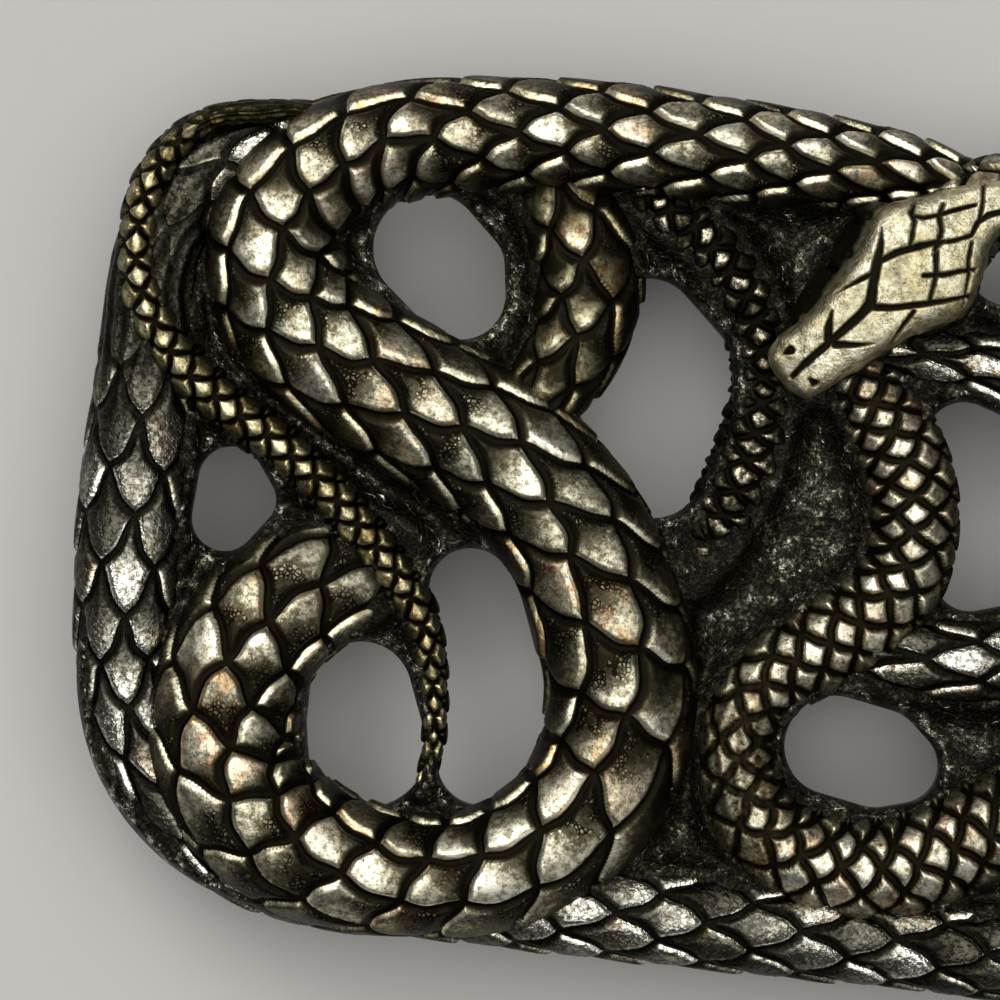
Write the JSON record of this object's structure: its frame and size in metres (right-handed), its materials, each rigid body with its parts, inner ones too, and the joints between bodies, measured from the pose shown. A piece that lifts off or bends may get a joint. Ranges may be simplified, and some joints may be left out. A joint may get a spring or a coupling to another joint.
{
  "type": "snake hook buckle",
  "caption": "Pierced cast belt buckle of intertwined scaled snakes, with a rigid belt loop and a plain hook stud on its back.",
  "frame": {"origin": "on the surface that the buckle lies on, face up, under the middle of its outline", "axes": "+X along its length towards the belt loop, +Y towards its top edge, +Z out of its front"},
  "size_m": [0.09, 0.0626, 0.0167],
  "materials": {
    "casting": "cast zinc alloy with antiqued silver plate, black in its recesses and worn bright on its crests",
    "hardware": "plain steel rod with a dull antiqued plate"
  },
  "bodies": {
    "root": {"casting": "casting", "belt_loop": "hardware", "hook_stud": "hardware"}
  },
  "joints": []
}
